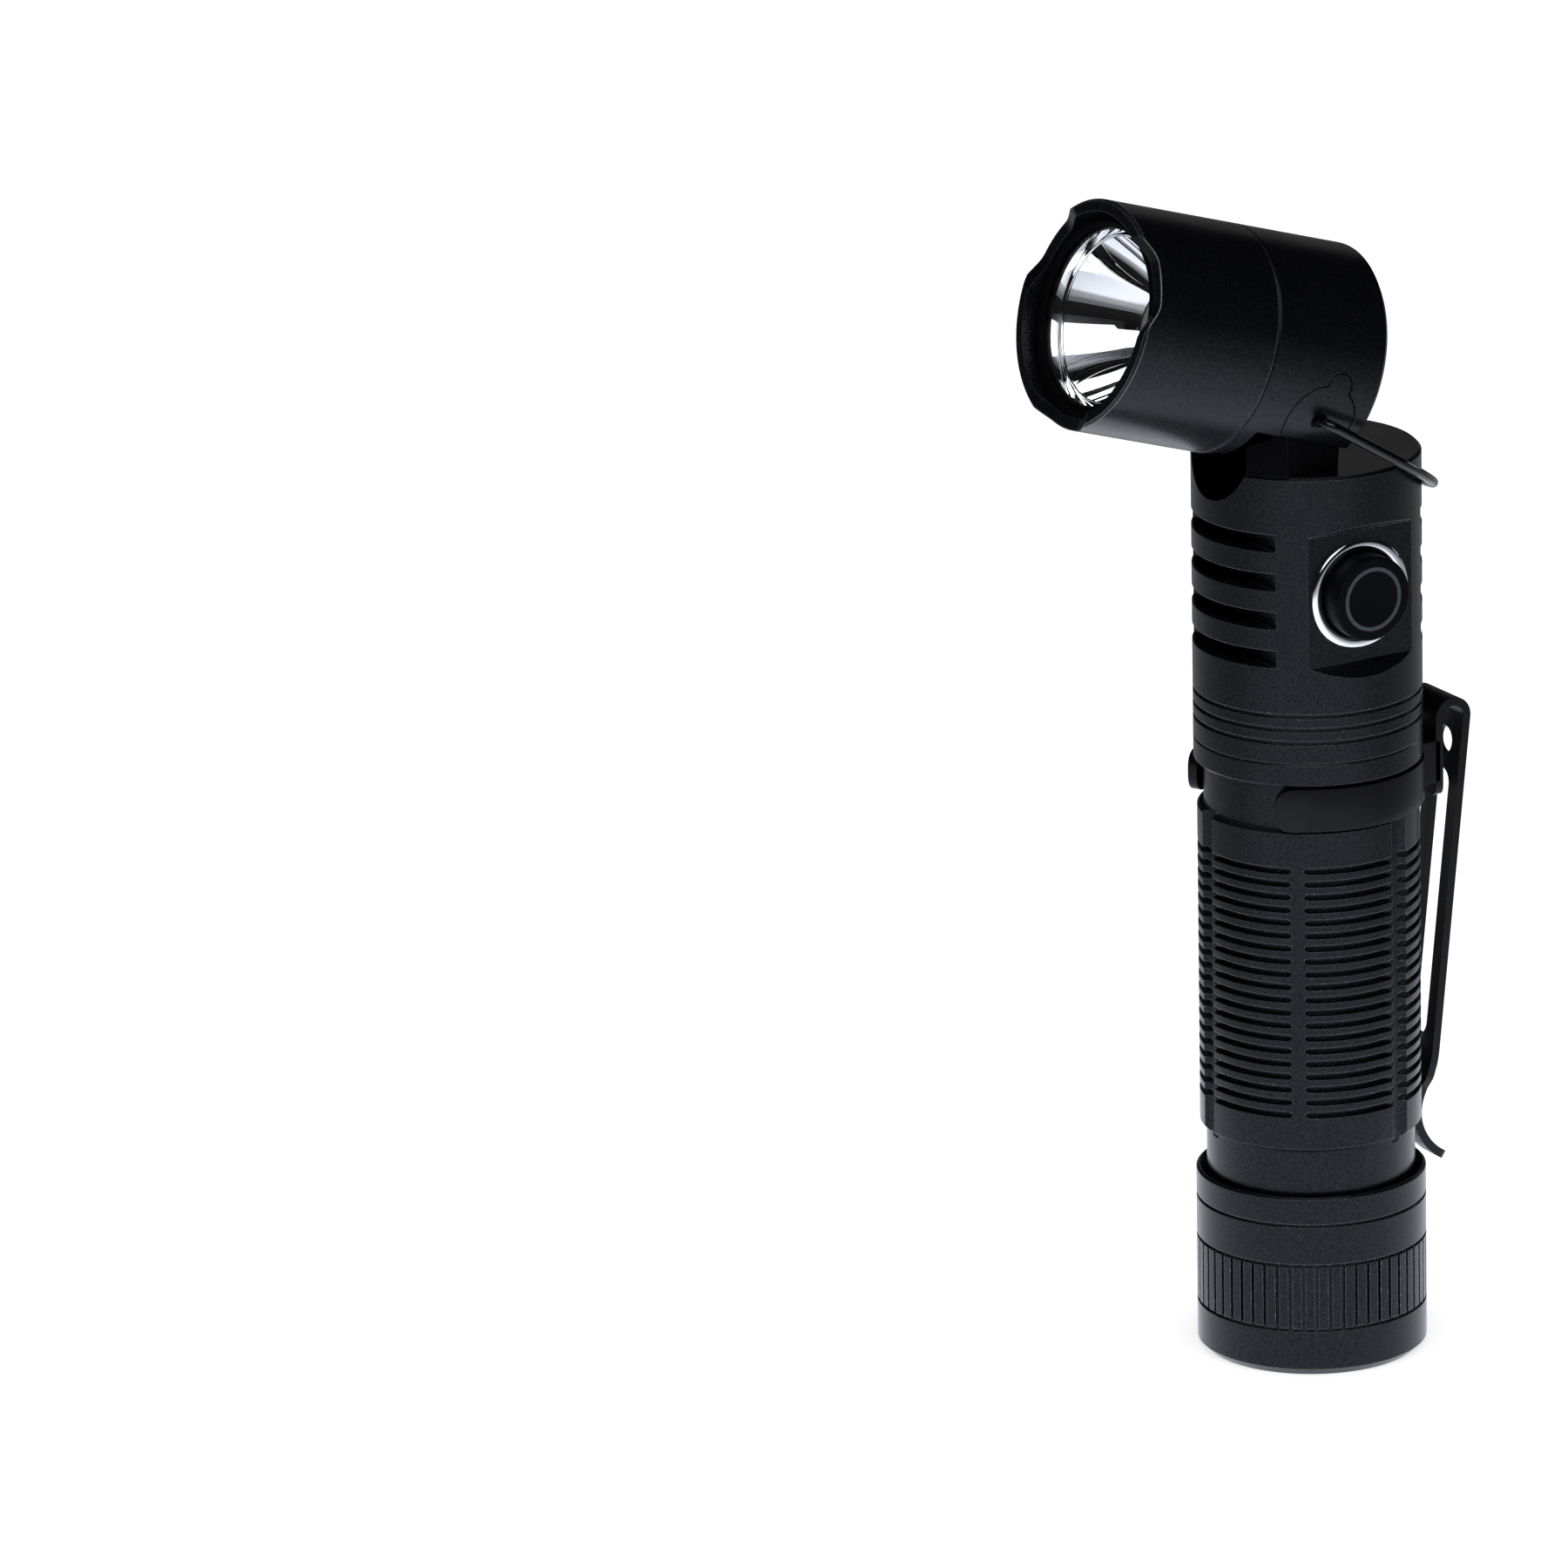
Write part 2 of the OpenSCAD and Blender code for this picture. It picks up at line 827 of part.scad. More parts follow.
// The tail cap: knurled band, turned grooves and the socket for the tube.
module tail_cap() {
    floor_top = 3.2;
    thread_radius = 11.8;
    thread_top = 14.7;
    socket_radius = 12.3;
    groove_width = 0.44;
    groove_depth = 0.6;
    color(black)
        difference() {
            rotate_extrude()
                polygon([
                    [0, 0], [cap_radius - 0.9, 0], [cap_radius, 0.9],
                    [cap_radius, cap_height - 0.25], [cap_radius - 0.25, cap_height],
                    [socket_radius + 0.6, cap_height], [socket_radius, cap_height - 0.6],
                    [socket_radius, thread_top + 0.5], [thread_radius, thread_top],
                    [thread_radius, floor_top], [0, floor_top]
                ]);
            for (z = [knurl_bottom, knurl_top, 18.4])
                turned_groove(cap_radius, z, 0.4, 0.35);
            for (i = [0 : knurl_count - 1])
                rotate([0, 0, 360 * i / knurl_count])
                    translate([-groove_width / 2, -cap_radius - 1, knurl_bottom])
                        cube([groove_width, 1 + groove_depth, knurl_top - knurl_bottom]);
        }
}

// The contact board in the tail cap.
module tail_board() {
    color(board_green)
        disc(tail_board_radius, 3.2, tail_board_top);
}

// The ring that holds the tail board.
module tail_retainer() {
    color(grey_metal)
        ring(tail_board_radius, 8.6, tail_board_top, 5.9);
}

// The spring that touches the cell's flat end: turns of wire joined by short links.
module tail_spring() {
    turns = 5;
    wire = 0.42;
    first_z = tail_board_top + wire;
    pitch = 1.6;
    coil = 6.4;
    taper = 0.6;
    color("#c9a75a") {
        for (i = [0 : turns - 1])
            translate([0, 0, first_z + pitch * i])
                rotate_extrude()
                    translate([coil - taper * i, 0])
                        circle(r = wire);
        for (i = [0 : turns - 2])
            rotate([0, 0, 100 * i])
                translate([coil - taper / 2 - taper * i, 0, first_z + pitch * i])
                    cylinder(r = wire, h = pitch);
    }
}

upper_body();
hinge_yoke();
hinge_pin();
neck_seal();
battery_tube();
tail_seal();
battery_cell();
battery_button();
positive_contact();
driver_board();
board_retainer();
switch_board();
switch_body();
button_ring();
button_cap();
rear_head();
front_head();
head_seal();
heat_sink();
led_board();
led_emitter();
led_gasket();
reflector();
lens_seal();
lens_glass();
lens_retainer();
hinge_plate_right();
hinge_plate_left();
wire_bail();
clip_clamp();
clip_arm();
tail_cap();
tail_board();
tail_retainer();
tail_spring();
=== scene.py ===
import json
import math

import bmesh
import bpy
from mathutils import Matrix, Vector


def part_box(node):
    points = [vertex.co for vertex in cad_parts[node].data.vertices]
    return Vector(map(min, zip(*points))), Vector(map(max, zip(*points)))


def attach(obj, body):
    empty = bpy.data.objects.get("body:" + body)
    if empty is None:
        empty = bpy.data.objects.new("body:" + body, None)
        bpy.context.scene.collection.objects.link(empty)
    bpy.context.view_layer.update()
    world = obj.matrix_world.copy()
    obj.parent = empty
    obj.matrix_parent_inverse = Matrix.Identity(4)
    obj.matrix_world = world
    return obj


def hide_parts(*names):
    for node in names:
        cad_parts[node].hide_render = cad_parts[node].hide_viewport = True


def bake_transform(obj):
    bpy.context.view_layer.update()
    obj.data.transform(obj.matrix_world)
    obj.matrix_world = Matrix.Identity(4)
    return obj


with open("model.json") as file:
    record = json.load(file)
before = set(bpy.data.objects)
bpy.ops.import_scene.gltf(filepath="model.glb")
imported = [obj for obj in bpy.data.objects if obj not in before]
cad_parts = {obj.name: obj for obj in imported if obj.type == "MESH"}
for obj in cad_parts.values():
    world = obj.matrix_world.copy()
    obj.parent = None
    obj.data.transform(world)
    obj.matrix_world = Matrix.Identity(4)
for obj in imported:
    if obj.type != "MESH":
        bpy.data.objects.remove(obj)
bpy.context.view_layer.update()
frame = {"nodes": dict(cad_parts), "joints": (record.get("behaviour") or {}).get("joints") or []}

MM = 0.001

nodes = frame["nodes"]
joints = {joint["name"]: joint for joint in frame["joints"]}

# The hinge that carries the head and the bail, and the clip's bend, in millimetres.
hinge = Vector(joints["head_tilt"]["pos_m"]) / MM
head_angle = math.radians(-joints["head_tilt"]["range_deg"][0])
bend_centre = Vector(joints["clip_flex"]["pos_m"]) / MM

# The head's own frame: upright on the body, then turned about the hinge.
body_top = 108.35
hinge_shift = Matrix.Translation(hinge)
on_head = hinge_shift @ Matrix.Rotation(head_angle, 4, "X") @ hinge_shift.inverted()
head_base = on_head @ Matrix.Translation((0.0, 0.0, body_top))
head_foot = head_base @ Vector((0.0, 0.0, 0.0))
head_axis = (head_base @ Vector((0.0, 0.0, 1.0)) - head_foot).normalized()


# ---------------------------------------------------------------- node helpers

class Finish:
    """One procedural material built round a Principled shader."""

    def __init__(self, name, **sockets):
        self.material = bpy.data.materials.new(name)
        self.material.use_nodes = True
        self.tree = self.material.node_tree
        self.shader = self.tree.nodes["Principled BSDF"]
        for socket, value in sockets.items():
            self.shader.inputs[socket.replace("_", " ")].default_value = value
        self.place = self.node("ShaderNodeTexCoord").outputs["Object"]

    def node(self, kind, inputs=(), **settings):
        """A new node: sockets in inputs are linked and plain values are set."""
        made = self.tree.nodes.new(kind)
        for key, value in settings.items():
            setattr(made, key, value)
        for key, value in dict(inputs).items():
            if isinstance(value, bpy.types.NodeSocket):
                self.tree.links.new(value, made.inputs[key])
            else:
                made.inputs[key].default_value = value
        return made

    def to_shader(self, socket, value):
        self.tree.links.new(value, self.shader.inputs[socket])

    def noise(self, scale, detail=3.0, rough=0.55, place=None):
        inputs = {"Vector": place or self.place, "Scale": scale, "Detail": detail, "Roughness": rough}
        return self.node("ShaderNodeTexNoise", inputs).outputs["Fac"]

    def spread(self, value, low, high, out_low=0.0, out_high=1.0):
        """The value mapped from low..high to out_low..out_high, and held at both ends."""
        inputs = {"Value": value, "From Min": low, "From Max": high,
                  "To Min": out_low, "To Max": out_high}
        return self.node("ShaderNodeMapRange", inputs, clamp=True).outputs["Result"]

    def maths(self, operation, a, b=0.0):
        return self.node("ShaderNodeMath", {0: a, 1: b}, operation=operation).outputs[0]

    def colours(self, factor, low, high):
        """A mix of two colours, each a socket or three numbers."""
        mixed = self.node("ShaderNodeMix", data_type="RGBA")
        for key, value in {"Factor": factor, 6: low, 7: high}.items():
            target = mixed.inputs[key]
            if isinstance(value, bpy.types.NodeSocket):
                self.tree.links.new(value, target)
            else:
                target.default_value = (*value, 1.0)
        return mixed.outputs[2]

    def stretched(self, x, y, z):
        """Object coordinates scaled along each axis, for grain with a direction."""
        return self.node("ShaderNodeMapping", {"Vector": self.place, "Scale": (x, y, z)}).outputs[0]

    def from_axis(self, point, direction):
        """Distance from the line through a point along a unit direction."""
        offset = self.node("ShaderNodeVectorMath", {0: self.place, 1: point},
                           operation="SUBTRACT").outputs[0]
        across = self.node("ShaderNodeVectorMath", {0: offset, 1: direction},
                           operation="CROSS_PRODUCT").outputs[0]
        return self.node("ShaderNodeVectorMath", {0: across}, operation="LENGTH").outputs["Value"]

    def soft_normal(self, radius):
        return self.node("ShaderNodeBevel", {"Radius": radius}, samples=4).outputs["Normal"]

    def edges(self, radius, low=0.02, high=0.22):
        """1 on sharp edges, 0 on flat faces, from how far the rounded normal leans."""
        flat = self.node("ShaderNodeNewGeometry").outputs["Normal"]
        leaning = self.node("ShaderNodeVectorMath", {0: self.soft_normal(radius), 1: flat},
                            operation="DOT_PRODUCT").outputs["Value"]
        return self.spread(leaning, 1.0 - low, 1.0 - high)

    def bump(self, height, strength, distance, normal=None):
        inputs = {"Height": height, "Strength": strength, "Distance": distance}
        if normal is not None:
            inputs["Normal"] = normal
        self.to_shader("Normal", self.node("ShaderNodeBump", inputs).outputs["Normal"])


# ------------------------------------------------------------------- materials

def anodised(name, tint, roughness, shine, wear_and_highlight_level=0.5, painted_rim_highlight=False):
    """Black anodising over bead-blasted aluminium, lighter and metallic along its edges: partly real wear,
    partly a painted edge highlight.

    If the rim flag is set, a painted highlight runs along the bezel's outer edge as bright bare metal,
    12.75 to 12.95 mm from the head's axis.
    """
    finish = Finish(name, IOR=1.5, Specular_IOR_Level=shine)
    grain = finish.noise(3600.0, 2.0)
    clouds = finish.noise(130.0, 4.0)
    # Bezel: a painted highlight, a bright metallic band along the outer edge.
    if painted_rim_highlight:
        edge = finish.edges(0.00035)
        reach = finish.from_axis(tuple(head_foot * MM), tuple(head_axis))
        wear_and_highlight_amount = finish.spread(reach, 0.01275, 0.01295, 0.05, 0.75)
    else:
        edge = finish.edges(0.00018)
        # Elsewhere the edges lighten in random specks, which is wear, and evenly all along, which is a
        # painted edge highlight.
        specks = finish.spread(finish.noise(2300.0, 1.0), 0.63, 0.70)
        wear_and_highlight_amount = finish.maths("ADD", finish.maths("MULTIPLY", specks, wear_and_highlight_level), 0.6 * wear_and_highlight_level)
    # Edge mask and its bare metallic grey: wear and painted highlight together.
    edge_wear_and_highlight = finish.maths("MULTIPLY", edge, wear_and_highlight_amount)
    bare_metal_and_highlight = (0.45, 0.46, 0.50)
    dark = tuple(0.8 * part for part in tint)
    light = tuple(1.25 * part for part in tint)
    blasted = finish.maths("ADD", finish.maths("MULTIPLY", clouds, 0.4),
                           finish.spread(grain, 0.3, 0.7, -0.6, 1.1))
    skin = finish.colours(blasted, dark, light)
    finish.to_shader("Base Color", finish.colours(edge_wear_and_highlight, skin, bare_metal_and_highlight))
    finish.to_shader("Metallic", edge_wear_and_highlight)
    finish.to_shader("Specular Tint", finish.colours(finish.spread(grain, 0.36, 0.64),
                                                     (0.50, 0.52, 0.60), (1.0, 1.0, 1.0)))
    rough = finish.maths("ADD", finish.spread(grain, 0.3, 0.7, roughness - 0.05, roughness + 0.05),
                         finish.spread(clouds, 0.3, 0.7, -0.03, 0.03))
    finish.to_shader("Roughness", rough)
    finish.bump(grain, 0.45, 0.00002, finish.soft_normal(0.00018))
    return finish.material


def turned_metal(name, tint, roughness, axis_z=True):
    """Plain machined metal with fine turning lines round the Z axis, or else round the X axis."""
    finish = Finish(name, Metallic=1.0)
    stretch = (0.02, 0.02, 1.0) if axis_z else (1.0, 0.02, 0.02)
    rings = finish.noise(9000.0, 2.0, place=finish.stretched(*stretch))
    clouds = finish.noise(220.0, 4.0)
    dull = tuple(0.78 * part for part in tint)
    finish.to_shader("Base Color", finish.colours(finish.spread(clouds, 0.3, 0.75), tint, dull))
    finish.to_shader("Roughness", finish.spread(clouds, 0.3, 0.7, roughness - 0.05, roughness + 0.08))
    finish.bump(rings, 0.10, 0.00002, finish.soft_normal(0.00008))
    return finish.material


def rubber(name, tint, roughness):
    """Moulded rubber with a faint dusty bloom."""
    finish = Finish(name, IOR=1.5)
    grain = finish.noise(4200.0, 2.0)
    bloom = finish.spread(finish.noise(260.0, 5.0), 0.45, 0.75)
    dusty = tuple(part + 0.012 for part in tint)
    finish.to_shader("Base Color", finish.colours(bloom, tint, dusty))
    finish.to_shader("Roughness", finish.spread(grain, 0.3, 0.7, roughness - 0.06, roughness + 0.06))
    finish.bump(grain, 0.12, 0.00002, finish.soft_normal(0.0001))
    return finish.material


def plastic(name, tint, roughness):
    """Moulded plastic with a fine spark-eroded texture."""
    finish = Finish(name, IOR=1.46)
    grain = finish.noise(6000.0, 3.0)
    clouds = finish.noise(180.0, 3.0)
    shade = tuple(0.86 * part for part in tint)
    finish.to_shader("Base Color", finish.colours(clouds, tint, shade))
    finish.to_shader("Roughness", finish.spread(grain, 0.3, 0.7, roughness - 0.07, roughness + 0.07))
    finish.bump(grain, 0.10, 0.00002, finish.soft_normal(0.0001))
    return finish.material


def paint(name, tint, roughness, shine, coat):
    """Black lacquer on steel: orange peel, a clear coat and a few chips on the edges."""
    finish = Finish(name, IOR=1.5, Specular_IOR_Level=shine, Coat_Weight=coat, Coat_Roughness=0.08)
    peel = finish.noise(1100.0, 2.0)
    clouds = finish.noise(300.0, 3.0)
    chips = finish.spread(finish.noise(1700.0, 3.0), 0.66, 0.70)
    chipped = finish.maths("MULTIPLY", finish.edges(0.00014), chips)
    light = tuple(1.5 * part for part in tint)
    skin = finish.colours(clouds, tint, light)
    finish.to_shader("Base Color", finish.colours(chipped, skin, (0.34, 0.34, 0.36)))
    finish.to_shader("Roughness", finish.spread(clouds, 0.3, 0.7, roughness - 0.04, roughness + 0.06))
    finish.bump(peel, 0.12, 0.00003, finish.soft_normal(0.0001))
    return finish.material


def circuit(name):
    """Green solder mask with raised copper tracks and bright pads."""
    finish = Finish(name, IOR=1.5)
    tracks = finish.node("ShaderNodeTexBrick", {
        "Vector": finish.place, "Scale": 420.0, "Mortar Size": 0.06, "Mortar Smooth": 0.1,
    }).outputs["Fac"]
    cells = finish.node("ShaderNodeTexVoronoi", {"Vector": finish.place, "Scale": 520.0})
    pads = finish.spread(cells.outputs["Distance"], 0.16, 0.13)
    mask = finish.colours(tracks, (0.010, 0.085, 0.035), (0.022, 0.16, 0.06))
    finish.to_shader("Base Color", finish.colours(pads, mask, (0.62, 0.60, 0.55)))
    finish.to_shader("Metallic", pads)
    finish.to_shader("Roughness", finish.spread(pads, 0.0, 1.0, 0.34, 0.22))
    finish.bump(finish.maths("MAXIMUM", tracks, pads), 0.25, 0.00003)
    return finish.material


def cell_film(name):
    """Shrink film over the cell: blue, glossy, with soft wrinkles."""
    finish = Finish(name, IOR=1.48, Coat_Weight=0.4, Coat_Roughness=0.12)
    wrinkles = finish.noise(240.0, 3.0, place=finish.stretched(1.0, 1.0, 0.35))
    clouds = finish.noise(70.0, 4.0)
    finish.to_shader("Base Color", finish.colours(clouds, (0.020, 0.060, 0.19), (0.030, 0.085, 0.26)))
    finish.to_shader("Roughness", finish.spread(wrinkles, 0.3, 0.7, 0.22, 0.34))
    finish.bump(wrinkles, 0.2, 0.0001)
    return finish.material


def mirror(name):
    """Vacuum-metallised bowl, with a trace of haze."""
    finish = Finish(name, Metallic=1.0)
    haze = finish.noise(350.0, 5.0)
    finish.to_shader("Base Color", finish.colours(haze, (0.98, 0.985, 0.99), (0.94, 0.95, 0.97)))
    finish.to_shader("Roughness", finish.spread(haze, 0.35, 0.75, 0.008, 0.022))
    return finish.material


def chrome(name):
    """Polished ring with hairline polishing marks."""
    finish = Finish(name, Metallic=1.0)
    marks = finish.noise(5000.0, 2.0)
    clouds = finish.noise(500.0, 3.0)
    finish.to_shader("Base Color", finish.colours(clouds, (0.86, 0.88, 0.91), (0.78, 0.80, 0.84)))
    finish.to_shader("Roughness", finish.spread(marks, 0.3, 0.7, 0.05, 0.11))
    finish.bump(marks, 0.03, 0.00001)
    return finish.material


def glass(name):
    """Clear front glass with a few dust marks."""
    finish = Finish(name, IOR=1.45, Transmission_Weight=1.0)
    dust = finish.spread(finish.noise(900.0, 4.0), 0.68, 0.8, 0.0, 0.10)
    finish.to_shader("Roughness", dust)
    finish.to_shader("Base Color", finish.colours(dust, (1.0, 1.0, 1.0), (0.94, 0.95, 0.96)))
    return finish.material


def clear_dome(name):
    """Silicone dome over the light source."""
    finish = Finish(name, IOR=1.41, Transmission_Weight=1.0)
    cloud = finish.noise(900.0, 2.0)
    finish.to_shader("Roughness", finish.spread(cloud, 0.3, 0.7, 0.01, 0.05))
    finish.to_shader("Base Color", finish.colours(cloud, (1.0, 0.99, 0.95), (0.97, 0.96, 0.90)))
    return finish.material


def phosphor(name):
    """Yellow phosphor layer."""
    finish = Finish(name, IOR=1.45)
    powder = finish.noise(7000.0, 3.0)
    finish.to_shader("Base Color", finish.colours(powder, (0.86, 0.66, 0.08), (0.95, 0.80, 0.20)))
    finish.to_shader("Roughness", finish.spread(powder, 0.3, 0.7, 0.5, 0.7))
    finish.bump(powder, 0.2, 0.00002)
    return finish.material


def printed_cap(name, centre, radius, width):
    """Button: smooth black plastic with one thin grey ring, of this radius and width, on its face."""
    finish = Finish(name, IOR=1.47, Specular_IOR_Level=0.06)
    offset = finish.node("ShaderNodeVectorMath", {0: finish.place, 1: centre},
                         operation="SUBTRACT").outputs[0]
    parts = finish.node("ShaderNodeSeparateXYZ", {0: offset}).outputs
    reach = finish.maths("SQRT", finish.maths("ADD", finish.maths("POWER", parts[1], 2.0),
                                              finish.maths("POWER", parts[2], 2.0)))
    away = finish.maths("ABSOLUTE", finish.maths("SUBTRACT", reach, radius))
    ink = finish.spread(away, width * 0.62, width * 0.40)
    on_face = finish.spread(parts[0], 0.00230, 0.00250)
    ink = finish.maths("MULTIPLY", ink, on_face)
    grain = finish.noise(5200.0, 2.0)
    blotches = finish.spread(finish.noise(3000.0, 2.0), 0.25, 0.5, 0.75, 1.0)
    patchy = finish.maths("MULTIPLY", ink, blotches)
    clouds = finish.noise(240.0, 3.0)
    skin = finish.colours(clouds, (0.0018, 0.0020, 0.0030), (0.0030, 0.0033, 0.0046))
    finish.to_shader("Base Color", finish.colours(patchy, skin, (0.078, 0.088, 0.104)))
    finish.to_shader("Roughness", finish.spread(grain, 0.3, 0.7, 0.34, 0.44))
    finish.bump(finish.maths("ADD", finish.maths("MULTIPLY", grain, 0.35), ink), 0.10, 0.00002)
    return finish.material


# ------------------------------------------------------------------ mesh tools

def new_piece(name, verts, faces, material, sharp=32.0):
    """A mesh object from points in millimetres, smooth except across edges past the sharp angle."""
    mesh = bpy.data.meshes.new(name)
    mesh.from_pydata([tuple(MM * part for part in v) for v in verts], [], faces)
    mesh.validate()
    made = bpy.data.objects.new(name, mesh)
    bpy.context.scene.collection.objects.link(made)
    tidy = bmesh.new()
    tidy.from_mesh(mesh)
    bmesh.ops.remove_doubles(tidy, verts=tidy.verts, dist=1e-7)
    bmesh.ops.recalc_face_normals(tidy, faces=tidy.faces)
    tidy.to_mesh(mesh)
    tidy.free()
    mesh.shade_smooth()
    mesh.set_sharp_from_angle(angle=math.radians(sharp))
    mesh.materials.append(material)
    return made


def rounded(corners, closed=True, steps=5):
    """A path through (u, v, radius) corners, each corner turned into an arc of that radius."""
    path = []
    count = len(corners)
    for i, (u, v, radius) in enumerate(corners):
        here = Vector((u, v))
        if radius <= 0.0 or (not closed and i in (0, count - 1)):
            path.append((u, v))
            continue
        before = Vector(corners[i - 1][:2]) - here
        after = Vector(corners[(i + 1) % count][:2]) - here
        half = before.angle(after) / 2.0
        cut = min(radius / math.tan(half), 0.49 * before.length, 0.49 * after.length)
        start = here + before.normalized() * cut
        end = here + after.normalized() * cut
        for k in range(steps + 1):
            t = k / steps
            point = (1 - t) ** 2 * start + 2 * t * (1 - t) * here + t * t * end
            path.append((point.x, point.y))
    return path


def lathe(name, outline, material, place=Matrix.Identity(4), segments=128, closed=True, sharp=32.0):
    """Turns an outline of (radius, height) points round the Z axis, then puts it in place."""
    verts = []
    rings = []
    for radius, height in outline:
        if radius < 1e-6:
            rings.append([len(verts)] * segments)
            verts.append(place @ Vector((0.0, 0.0, height)))
            continue
        ring = []
        for k in range(segments):
            turn = 2 * math.pi * k / segments
            ring.append(len(verts))
            verts.append(place @ Vector((radius * math.cos(turn), radius * math.sin(turn), height)))
        rings.append(ring)
    faces = []
    last = len(rings) if closed else len(rings) - 1
    for i in range(last):
        low, high = rings[i], rings[(i + 1) % len(rings)]
        for k in range(segments):
            n = (k + 1) % segments
            corners = [low[k], low[n], high[n], high[k]]
            face = [c for j, c in enumerate(corners) if c not in corners[:j]]
            if len(face) > 2:
                faces.append(face)
    return new_piece(name, verts, faces, material, sharp)


def tube(name, path, radius, material, sides=20, end_round=4):
    """A round wire along a path of points, with domed ends."""
    points = [Vector(p) for p in path]
    last = len(points) - 1
    tangents = []
    for i in range(last + 1):
        ahead = points[min(i + 1, last)]
        behind = points[max(i - 1, 0)]
        tangents.append((ahead - behind).normalized())
    across = tangents[0].orthogonal().normalized()
    dome = [math.pi / 2 * k / end_round for k in range(1, end_round + 1)]
    # Each ring is its centre, its radius and the path point whose direction it takes.
    rings = []
    for t in dome:
        rings.append((points[0] - tangents[0] * radius * math.cos(t), radius * math.sin(t), 0))
    for i in range(1, last):
        rings.append((points[i], radius, i))
    for t in reversed(dome):
        rings.append((points[-1] + tangents[-1] * radius * math.cos(t), radius * math.sin(t), last))
    verts = [points[0] - tangents[0] * radius]
    loops = []
    for centre, reach, index in rings:
        tangent = tangents[index]
        across = (across - tangent * across.dot(tangent)).normalized()
        beside = tangent.cross(across)
        loop = []
        for s in range(sides):
            turn = 2 * math.pi * s / sides
            loop.append(len(verts))
            verts.append(centre + (across * math.cos(turn) + beside * math.sin(turn)) * reach)
        loops.append(loop)
    tip = len(verts)
    verts.append(points[-1] + tangents[-1] * radius)
    faces = [[0, loops[0][(s + 1) % sides], loops[0][s]] for s in range(sides)]
    for low, high in zip(loops, loops[1:]):
        for s in range(sides):
            n = (s + 1) % sides
            faces.append([low[s], low[n], high[n], high[s]])
    faces += [[tip, loops[-1][s], loops[-1][(s + 1) % sides]] for s in range(sides)]
    return new_piece(name, verts, faces, material, 60.0)


def plate(outline, holes, thickness, edge_round, stations):
    """A flat plate in (s, x, h) with rounded rims, cut across at each station so it can bend."""
    work = bmesh.new()
    rims = []
    for loop in [outline] + holes:
        corners = [work.verts.new((s, x, 0.0)) for s, x in loop]
        for i, corner in enumerate(corners):
            rims.append(work.edges.new((corner, corners[(i + 1) % len(corners)])))
    bmesh.ops.triangle_fill(work, edges=rims, use_beauty=True)
    bmesh.ops.recalc_face_normals(work, faces=work.faces)
    grown = bmesh.ops.extrude_face_region(work, geom=list(work.faces), use_keep_orig=True)
    for item in grown["geom"]:
        if isinstance(item, bmesh.types.BMVert):
            item.co.z += thickness
    bmesh.ops.recalc_face_normals(work, faces=work.faces)
    flat = {edge for edge in work.edges if len(edge.link_faces) == 2
            and edge.calc_face_angle(0.0) > math.radians(70)
            and abs(edge.verts[0].co.z - edge.verts[1].co.z) < 1e-6}
    bmesh.ops.bevel(work, geom=list(flat), offset=edge_round, segments=3, profile=0.5,
                    affect="EDGES", clamp_overlap=True)
    for s in stations:
        geometry = list(work.verts) + list(work.edges) + list(work.faces)
        bmesh.ops.bisect_plane(work, geom=geometry, dist=1e-5, plane_co=(s, 0, 0), plane_no=(1, 0, 0))
    return work


def bent_piece(name, work, bend, material, sharp=40.0):
    """Bends a flat plate with bend(s, x, h), which returns a point in millimetres."""
    for vert in work.verts:
        vert.co = Vector(bend(*vert.co)) * MM
    bmesh.ops.recalc_face_normals(work, faces=work.faces)
    mesh = bpy.data.meshes.new(name)
    work.to_mesh(mesh)
    work.free()
    made = bpy.data.objects.new(name, mesh)
    bpy.context.scene.collection.objects.link(made)
    mesh.shade_smooth()
    mesh.set_sharp_from_angle(angle=math.radians(sharp))
    mesh.materials.append(material)
    return made


def arc_points(cx, cy, radius, start, end, steps):
    """Points on an arc from start to end, in degrees."""
    turns = [math.radians(start + (end - start) * k / steps) for k in range(steps + 1)]
    return [(cx + radius * math.cos(t), cy + radius * math.sin(t)) for t in turns]


# ---------------------------------------------------------------- finishes used

SHELL_LOOK = {"tint": (0.0045, 0.0048, 0.0066), "roughness": 0.27, "shine": 0.27}
SHELL = anodised("shell_black", **SHELL_LOOK)
REAR = anodised("shell_black_rear", wear_and_highlight_level=0.0, **SHELL_LOOK)
# The bezel's finish carries a painted highlight along its outer edge.
BEZEL_PAINTED_HIGHLIGHT = anodised("shell_black_bezel_painted_highlight", painted_rim_highlight=True, **SHELL_LOOK)
# A darker, duller copy of the shell finish for the yoke and lens retainer: painted shade under the head.
YOKE_SHADED = anodised("yoke_black_shaded", (0.0020, 0.0020, 0.0024), 0.65, 0.05, wear_and_highlight_level=0.05)
PIN = turned_metal("pin_ground_steel", (0.62, 0.63, 0.65), 0.25, axis_z=False)
SEAL = rubber("seal_black", (0.012, 0.012, 0.013), 0.45)
STEEL = turned_metal("plated_steel", (0.70, 0.71, 0.72), 0.22)
BRASS = turned_metal("contact_brass", (0.72, 0.54, 0.25), 0.26)
GOLD = turned_metal("spring_gold", (0.80, 0.64, 0.32), 0.22)
BOARD = circuit("board_green")
RETAINER = turned_metal("turned_aluminium", (0.55, 0.56, 0.58), 0.30)
SWITCH = plastic("switch_black", (0.018, 0.018, 0.020), 0.42)
FILM = cell_film("cell_film_blue")
MIRROR = mirror("mirror_bowl")
CHROME = chrome("ring_polished")
GLASS = glass("front_glass")
WHITE_BOARD = plastic("board_white", (0.78, 0.78, 0.75), 0.38)
WHITE_RING = plastic("ring_white", (0.80, 0.80, 0.77), 0.45)
